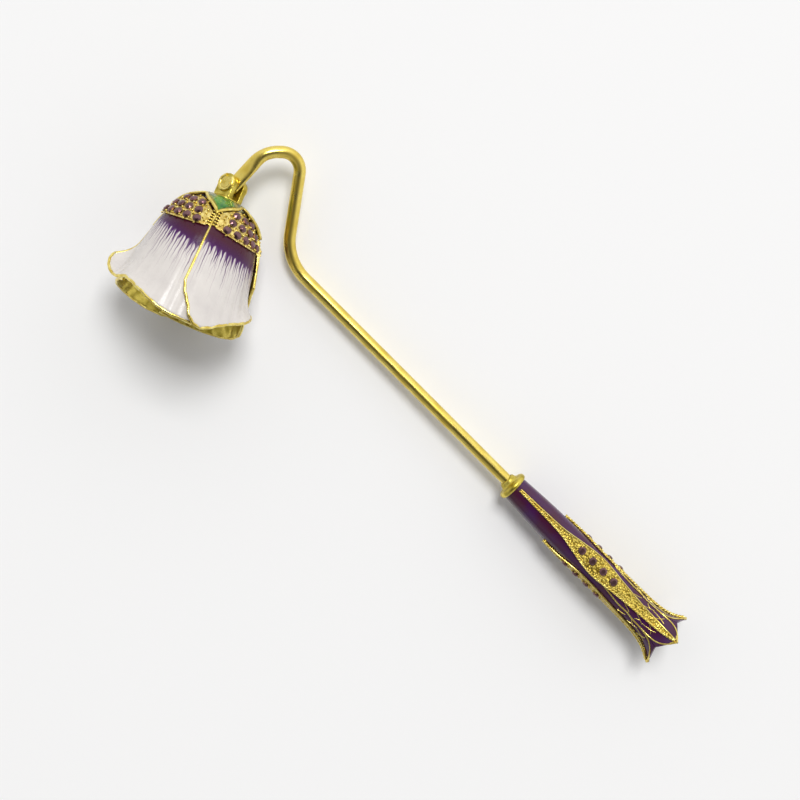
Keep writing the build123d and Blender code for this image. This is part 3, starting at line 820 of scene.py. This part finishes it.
# %% The petals' stones, beads and grains
noise.seed_set(7)
first_row = 25.3
row_pitch = 2.7
row_counts = (5, 4, 3)
stone_pitch = 3.7
stone_seat = 0.02
bed_middle = 45.0
bed_rise = 0.7
bead_seat = 0.22
bead_radius, bead_ring = 0.36, 1.72
bead_gap, bead_to_stone = 0.62, 1.45
grain_radius, grain_gap, grain_to_stone = 0.42, 0.95, 1.75
first_level, level_pitch, levels, grain_pitch = 24.4, 1.15, 8, 1.3
bed_half_turn = 36.0
bed_low, bed_low_rise, bed_high, bed_high_drop = 24.1, 0.8, 32.2, 3.3
lap_turns = (2.6, 5.6, 84.6, 87.4)
lap_first, lap_pitch, lap_slope, lap_seat = 25.2, 0.95, 0.03, 0.25
lap_grain_radius = 0.52


def bell_spot(turn, above, stand_out):
    """A place off the bell's wall in the scene, and the outward direction there."""
    radius, height, across, rise = wall_place(above, stand_out)
    spot = bell_frame @ on_circle(radius, turn, height)
    out = (bell_frame.to_3x3() @ on_circle(across, turn, rise)).normalized()
    return spot, out


def is_clear(place, kept, gap, seats, to_stone):
    """Whether a bead keeps its distance from the beads and stones that are already there."""
    clear = all((place - other).length > gap * mm for other in kept)
    return clear and all((place - seat).length > to_stone * mm for seat in seats)


for number in range(4):
    stones = bmesh.new()
    beads = bmesh.new()
    seats = []
    stone_places = []
    for row, count in enumerate(row_counts):
        above = first_row + row * row_pitch
        pitch_turn = degrees(stone_pitch / (wall_radius(above) + petal_lift))
        for at in range(count):
            turn_in = bed_middle + (at - (count - 1) / 2) * pitch_turn
            spot, out = bell_spot(90 * number + turn_in, above, lap_lift(turn_in) + bed_rise + stone_seat)
            add_stone(stones, spot, out, row + at * stone_turn)
            seats.append(spot)
            stone_places.append((turn_in, above))
    kept = []
    for turn_in, above in stone_places:
        for k in range(6):
            angle = radians(60 * k + 30)
            bead_above = above + bead_ring * sin(angle)
            bead_turn = turn_in + degrees(bead_ring * cos(angle) / (wall_radius(bead_above) + petal_lift))
            rise = lap_lift(bead_turn) + bed_rise + bead_seat
            place = bell_spot(90 * number + bead_turn, bead_above, rise)[0]
            if is_clear(place, kept, bead_gap, seats, bead_to_stone):
                kept.append(place)
                add_bead(beads, place, bead_radius)
    # Grains fill the bed wherever there is room between the stones and its edges.
    for level in range(levels):
        above = first_level + level_pitch * level
        for at in range(-14, 15):
            across = grain_pitch * (at + 0.5 * (level % 2))
            from_middle = degrees(across / (wall_radius(above) + petal_lift))
            share = from_middle / bed_half_turn
            inside = bed_low + bed_low_rise * share ** 2 < above < bed_high - bed_high_drop * share ** 2
            turn_in = bed_middle + from_middle
            place = bell_spot(90 * number + turn_in, above, lap_lift(turn_in) + bed_rise + bead_seat)[0]
            if abs(share) < 1 and inside and is_clear(place, kept, grain_gap, seats, grain_to_stone):
                kept.append(place)
                add_bead(beads, place, grain_radius)
    # Two rows of larger grains close the bed at the lap on each side.
    for turn_in in lap_turns:
        for level in range(7):
            above = lap_first + lap_pitch * level - lap_slope * turn_in * (turn_in < bed_middle)
            place = bell_spot(90 * number + turn_in, above, lap_lift(turn_in) + lap_seat)[0]
            add_bead(beads, place, lap_grain_radius)
    finish_stones(f"stones_{number + 1}", stones, "bell", (f"petal_stones_{number + 1}",))
    piece_from(f"beads_{number + 1}", beads, "bell", (rim_gold,))
    print("petal", number + 1, "has", len(seats), "stones and", len(kept), "beads and grains")

# %% The leaves' stones and beads
first_leaf_stone, leaf_stone_pitch, leaf_stone_rise = -28.6, 5.0, 0.42
leaf_bead_radius, leaf_bead_ring, leaf_bead_rise = 0.3, 1.62, 0.72
leaf_stones = bmesh.new()
leaf_beads = bmesh.new()
for side in range(4):
    for at in range(4):
        height = first_leaf_stone - leaf_stone_pitch * at
        out = (on_handle(height, 90 * side, 1) - on_handle(height, 90 * side, 0)).normalized()
        add_stone(leaf_stones, on_handle(height, 90 * side, leaf_stone_rise), out, at * leaf_stone_turn)
        for k in range(6):
            angle = radians(60 * k)
            bead_turn = 90 * side + degrees(leaf_bead_ring * sin(angle) / handle_radius(height))
            spot = on_handle(height + leaf_bead_ring * cos(angle), bead_turn, leaf_bead_rise)
            add_bead(leaf_beads, spot, leaf_bead_radius)
print("the leaves have", len(leaf_beads.verts) // 12, "beads")
finish_stones("leaf_stones", leaf_stones, "rod", [f"leaf_stones_{k}" for k in range(1, 5)])
piece_from("leaf_beads", leaf_beads, "rod", (rim_gold,))

# %% [markdown]
# The rod is one length of drawn wire. Its line is the solid model's: straight runs with a round bend
# at each corner. A grid is carried along that line with a round section that flattens and widens into
# the tongue near the pin, as a smith forges it, so there is no step where the tongue begins.

# %% The rod
wire_radius = 2.0
tang_start = 60.0
route_step = 0.6
arch_height, arch_reach, arch_rise = 29.1, 20.4, 10.5
crown_height, crown_reach = 20.6, 29.0
pin_direction = Vector(hinge["axis"]).normalized()
crown_design = Vector((-rod_run - crown_reach, crown_height, 0))
plan = Vector((pivot_in_design.x - crown_design.x, pivot_in_design.y - crown_design.y, 0))
reach = Vector((plan.x, plan.y, -(plan.x * pin_direction.x + plan.y * pin_direction.y) / pin_direction.z))
rod_corners = [
    Vector((0, 0, handle_axis_height)) - rod_direction * tang_start,
    Vector((-rod_run, 0, low_bend_height)),
    Vector((-rod_run - arch_reach, arch_height, arch_rise)),
    pivot_in_design - reach,
    pivot_in_design,
]
corner_radii = (16.5, 6.2, 9.2)


def rounded_route(corners, radii, step):
    """Places along straight runs joined by round bends, a step apart."""
    places = [corners[0]]
    for corner, radius, before, after in zip(corners[1:], radii, corners, corners[2:]):
        into = (corner - before).normalized()
        away = (after - corner).normalized()
        bend = acos(max(-1, min(1, into.dot(away))))
        cut = radius * math.tan(bend / 2)
        start = corner - into * cut
        inwards = (away - into).normalized()
        centre = corner + inwards * (radius / cos(bend / 2))
        count = max(int(radius * bend / step), 4)
        arm = start - centre
        turn_axis = into.cross(away).normalized()
        gap = (start - places[-1]).length
        last = places[-1]
        places += [last.lerp(start, k / int(gap / step + 1)) for k in range(1, int(gap / step + 1))]
        places += [centre + Matrix.Rotation(bend * k / count, 3, turn_axis) @ arm for k in range(count + 1)]
    last = places[-1]
    gap = (corners[-1] - last).length
    places += [last.lerp(corners[-1], k / int(gap / step)) for k in range(1, int(gap / step) + 1)]
    return places


rod_places = rounded_route(rod_corners, corner_radii, route_step)
rod_lengths = [0.0]
for before, after in zip(rod_places, rod_places[1:]):
    rod_lengths.append(rod_lengths[-1] + (after - before).length)
rod_length = rod_lengths[-1]
sections = 28
tip_rows = 8
tongue_start, tongue_taper = 15.0, 8.5
tongue_half_thickness, tongue_half_width = 1.2, 2.75
turn_start, turn_run = 22.0, 14.0
tongue_squareness = 0.35
tip_width_share = 0.02


def rod_section(run):
    """Half thickness and half width of the rod at a distance from its tang end."""
    left = rod_length - run
    flat = min(max((tongue_start - left) / tongue_taper, 0), 1)
    flat = flat * flat * (3 - 2 * flat)
    thin = wire_radius + (tongue_half_thickness - wire_radius) * flat
    wide = wire_radius + (tongue_half_width - wire_radius) * flat
    return thin, wide


bm = bmesh.new()
rows = len(rod_places) - 1 + tip_rows
bmesh.ops.create_grid(bm, x_segments=sections, y_segments=rows, size=0.5)
shift = pivot / mm - pivot_in_design
for vert in bm.verts:
    row = round((vert.co.y + 0.5) * rows)
    angle = 2 * pi * (vert.co.x + 0.5)
    at = min(row, len(rod_places) - 1)
    ahead = (rod_places[min(at + 1, len(rod_places) - 1)] - rod_places[max(at - 1, 0)]).normalized()
    thin, wide = rod_section(rod_lengths[at])
    # Near the pin the section turns, so that the tongue's flat faces meet the two ears.
    blend = min(max((turn_start - (rod_length - rod_lengths[at])) / turn_run, 0), 1)
    thick_way = pin_direction * blend + up * (1 - blend)
    thick_way = (thick_way - ahead * thick_way.dot(ahead)).normalized()
    wide_way = ahead.cross(thick_way)
    beyond = max(row - at, 0) / tip_rows
    spot = rod_places[at] + ahead * (wide * sin(beyond * pi / 2))
    shrink = max(cos(beyond * pi / 2), tip_width_share)
    squareness = 1.0 - tongue_squareness * (1 - thin / wire_radius)
    c, d = cos(angle), sin(angle)
    c = math.copysign(abs(c) ** squareness, c)
    d = math.copysign(abs(d) ** squareness, d)
    vert.co = (spot + thick_way * (thin * c) + wide_way * (wide * d * shrink) + shift) * mm
bmesh.ops.remove_doubles(bm, verts=bm.verts, dist=1e-6)
bmesh.ops.holes_fill(bm, edges=[e for e in bm.edges if e.is_boundary], sides=sections + 2)
bmesh.ops.recalc_face_normals(bm, faces=bm.faces)
rod_piece = piece_from("rod_wire", bm, "rod", (rod_gold,))
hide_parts("hook_rod")
print("rod", round(rod_length, 1), "mm long in", len(rod_places), "places")

# %% [markdown]
# The collar is turned, so it is spun from half its outline: a rounded rim against the handle, a
# hollow, and a small neck round the wire.

# %% The collar
bm = bmesh.new()
collar_outline = (
    (2.02, -77.6), (2.4, -77.6), (2.7, -77.3), (2.9, -76.7), (3.1, -76.1),
    (3.6, -75.8), (4.5, -75.6), (5.05, -75.3),
    (5.3, -74.8), (5.3, -74.2), (5.05, -73.75), (4.6, -73.45), (2.02, -73.4))
outline = [bm.verts.new((radius * mm, 0, height * mm)) for radius, height in collar_outline]
edges = [bm.edges.new(pair) for pair in zip(outline, outline[1:] + outline[:1])]
bmesh.ops.spin(bm, geom=outline + edges, cent=(0, 0, 0), axis=(0, 0, 1), angle=2 * pi,
               steps=56, use_merge=True)
bmesh.ops.remove_doubles(bm, verts=bm.verts, dist=1e-7)
bmesh.ops.transform(bm, matrix=handle_frame @ Matrix.Scale(1 / mm, 4), verts=bm.verts)
bmesh.ops.recalc_face_normals(bm, faces=bm.faces)
collar = piece_from("collar", bm, "rod", (cast_gold,))
round_over = collar.modifiers.new("soft edges", "SUBSURF")
round_over.levels = round_over.render_levels = 1
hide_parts("rod_collar")
print(collar.name, len(collar.data.polygons), "faces")

# %% [markdown]
# The clevis is cast, so none of its edges is sharp. The solid model's own mesh is copied, welded,
# rebuilt with small even faces and smoothed, which rounds every edge as casting and plating do.

# %% The clevis
clevis_face_size = 0.22
bm = bmesh.new()
bm.from_mesh(frame["nodes"]["clevis"].data)
bmesh.ops.remove_doubles(bm, verts=bm.verts, dist=1e-6)
clevis = piece_from("clevis_cast", bm, "bell", (cast_gold,))
even = clevis.modifiers.new("even faces", "REMESH")
even.mode = "VOXEL"
even.voxel_size = clevis_face_size * mm
even.use_smooth_shade = True
soften = clevis.modifiers.new("soften", "SMOOTH")
soften.factor = 0.5
soften.iterations = 9
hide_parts("clevis")

# Round each end of the pin a thick loop is cast on the ear, open on one side like a curled leaf.
loop_across = pin_direction.cross(mouthward).normalized()
loop_along = loop_across.cross(pin_direction)
loop_offset, loop_radius, loop_wire = 3.55, 2.45, 0.72
loops = []
for side in (-1, 1):
    middle = pivot + pin_direction * side * loop_offset * mm
    loops.append([middle + (loop_across * cos(radians(a)) + loop_along * sin(radians(a))) * loop_radius * mm
                  for a in range(-50, 251, 6)])
wire("ear_loops", loops, loop_wire, "bell", rim_gold, sides=4)
print("the clevis has", len(loops), "ear loops")

# %% [markdown]
# Green sepals sit over the petals' tops. Each is one cast flake: green enamel fills a pool over the lap
# between two petals, and the bare metal round it shows olive gold. A chart with the turn across and the
# distance from the lower edge tells the finish where the pool lies. A raised border follows the edge
# and carries on down the lap as a thin gold line.

# %% Sepals
sepal_top, sepal_side, sepal_tip, sepal_half_turn, sepal_point = 34.3, 33.6, 28.6, 43.0, 0.6
lap_rise = petal_lift * petal_span / 90
sepal_rise = lap_rise + 1.0
sepal_thickness = 0.8
sepal_puff, sepal_dents = 0.28, 0.096

sepal_finish, tree, shader = new_finish(
    "sepal enamel", Coat_Weight=0.4, Coat_Roughness=0.05, Specular_IOR_Level=0.4)
chart_place = node(tree, "SeparateXYZ", {"Vector": node(tree, "UVMap", uv_map="sepal").outputs["UV"]})
skin = place_group(tree, cast_skin, Dent_scale=520.0, Roughness=0.18, Spread=0.12)
ragged = maths(tree, "MULTIPLY", skin.outputs["Tone"], 0.25)
from_middle = maths(tree, "ADD", maths(tree, "ABSOLUTE", chart_place.outputs["X"]), ragged)
across_pool = ramp(tree, from_middle, (0.52, (1, 1, 1)), (0.68, (0, 0, 0))).outputs["Color"]
up_pool = ramp(tree, chart_place.outputs["Y"], (0.05, (0, 0, 0)), (0.09, (1, 1, 1))).outputs["Color"]
pool = maths(tree, "MULTIPLY", across_pool, up_pool)
green = mix(tree, skin.outputs["Tone"], (0.008, 0.11, 0.010), (0.07, 0.25, 0.010))
olive = mix(tree, skin.outputs["Tone"], (0.07, 0.10, 0.010), (0.40, 0.34, 0.045))
tree.links.new(mix(tree, pool, olive, green), shader.inputs["Base Color"])
tree.links.new(maths(tree, "MULTIPLY_ADD", pool, -0.9, 0.9), shader.inputs["Metallic"])
tree.links.new(skin.outputs["Roughness"], shader.inputs["Roughness"])
give_relief(tree, shader, skin.outputs["Height"], 0.5, 0.0004)


def sepal_low(turn):
    """Height of a sepal's lower edge above the mouth line at a turn from its tip."""
    return sepal_tip + (sepal_side - sepal_tip) * (abs(turn) / sepal_half_turn) ** sepal_point


def make_sepal(number):
    """One sepal as a carried grid with its chart."""
    bm = bmesh.new()
    bmesh.ops.create_grid(bm, x_segments=48, y_segments=14, size=0.5)
    chart = bm.loops.layers.uv.new("sepal")
    charted = {}
    for vert in bm.verts:
        turn = vert.co.x * 2 * sepal_half_turn
        low = sepal_low(turn)
        share = vert.co.y + 0.5
        above = low + (sepal_top - low) * share
        puff = sepal_puff * sin(pi * min(share * 1.6, 1)) * cos(pi * vert.co.x)
        puff += sepal_dents * noise.noise(Vector((turn * 0.12, above, number)))
        charted[vert] = (vert.co.x * 2, (above - low) / 10)
        vert.co = bell_spot(90 * number + turn, above, sepal_rise + puff)[0]
    for face in bm.faces:
        for loop in face.loops:
            loop[chart].uv = charted[loop.vert]
    bmesh.ops.recalc_face_normals(bm, faces=bm.faces)
    inside = bell_frame @ Vector((0, 0, -mouth_depth / 2))
    if sum(f.normal.dot(f.calc_center_median() - inside) for f in bm.faces) < 0:
        bmesh.ops.reverse_faces(bm, faces=bm.faces)
    piece = piece_from(f"sepal_{number + 1}_enamel", bm, "bell", (sepal_finish,))
    wall = piece.modifiers.new("metal", "SOLIDIFY")
    wall.thickness = sepal_thickness * mm
    wall.offset = -1
    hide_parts(f"sepal_{number + 1}")


border_sunk, border_radius = 0.1, 0.5
lap_line_length, lap_line_rise, lap_line_radius = 9.0, lap_rise + 0.05, 0.26
border_routes = []
seam_routes = []
for number in range(4):
    make_sepal(number)
    turns = [sepal_half_turn * k / 40 for k in range(-40, 41)]
    border_routes.append([
        bell_spot(90 * number + turn, sepal_low(turn), sepal_rise - border_sunk)[0] for turn in turns])
    seam_routes.append([
        bell_spot(90 * number, sepal_tip - lap_line_length * k / 12, lap_line_rise)[0] for k in range(13)])
wire("sepal_borders", border_routes, border_radius, "bell", rim_gold)
wire("lap_lines", seam_routes, lap_line_radius, "bell", rim_gold)
print(len(border_routes), "sepals with their borders")

# %% [markdown]
# The sheet under the snuffer is plain and pale. The key light is a soft lamp above the picture's top
# edge and a little to the right, so the shadows fall towards the bottom and a little to the left. The
# room is bright all round and nearly black overhead, which draws the dark line along polished wire.
# A slope makes its upper right side brighter than the rest.

# %% Sheet, lamp and room
sheet_half_width = 6.0
bm = bmesh.new()
bmesh.ops.create_grid(bm, x_segments=1, y_segments=1, size=sheet_half_width)
floor_mesh = bpy.data.meshes.new("sheet")
bm.to_mesh(floor_mesh)
bm.free()
sheet = bpy.data.objects.new("sheet", floor_mesh)
scene_collection.objects.link(sheet)
sheet_white, tree, shader = new_finish("sheet white", Roughness=0.9, Specular_IOR_Level=0.0)
sheet_place = node(tree, "TexCoord").outputs["Object"]
fibres = node(tree, "TexNoise", {"Vector": sheet_place, "Scale": 900.0})
paper = mix(tree, fibres.outputs["Fac"], (0.90, 0.90, 0.90), (0.905, 0.905, 0.905))
tree.links.new(paper, shader.inputs["Base Color"])
sheet.data.materials.append(sheet_white)

lamp_height = radians(57)
lamp_side = (picture_right * 0.33 + picture_up * 0.94).normalized()
lamp_direction = lamp_side * cos(lamp_height) + up * sin(lamp_height)
lamp = bpy.data.objects.new("key lamp", bpy.data.lights.new("key lamp", "AREA"))
lamp.data.shape = "SQUARE"
lamp_distance = 6.0
lamp.data.size = 2.1
lamp.data.energy = 242.0
scene_collection.objects.link(lamp)
lamp.location = lamp_direction * lamp_distance
lamp.rotation_euler = lamp_direction.to_track_quat("Z", "Y").to_euler()

room = bpy.data.worlds.new("room")
bpy.context.scene.world = room
room.use_nodes = True
tree = room.node_tree
sky_place = node(tree, "TexCoord").outputs["Generated"]
level = node(tree, "SeparateXYZ", {"Vector": sky_place}).outputs["Z"]
glow = ramp(tree, level, (0.0, (0.75, 0.75, 0.75)), (0.5, (0.85, 0.85, 0.85)),
            (0.80, (0.32, 0.31, 0.30)), (0.93, (0.03, 0.03, 0.03)))
bright_side = (picture_right + picture_up).normalized()
facing = node(tree, "VectorMath", {0: sky_place, 1: tuple(bright_side)},
              operation="DOT_PRODUCT").outputs["Value"]
slope = maths(tree, "MULTIPLY_ADD", facing, 0.45, 0.86)
tint = node(tree, "CombineXYZ", {"X": slope, "Y": slope, "Z": slope}).outputs[0]
light = node(tree, "VectorMath", {0: glow.outputs["Color"], 1: tint}, operation="MULTIPLY").outputs["Vector"]
tree.links.new(light, tree.nodes["Background"].inputs["Color"])
tree.nodes["Background"].inputs["Strength"].default_value = 1.19
bpy.context.scene.view_settings.view_transform = "Standard"
print("lamp towards", tuple(round(v, 2) for v in lamp_direction))

# %% [markdown]

# %% An import of json
import json
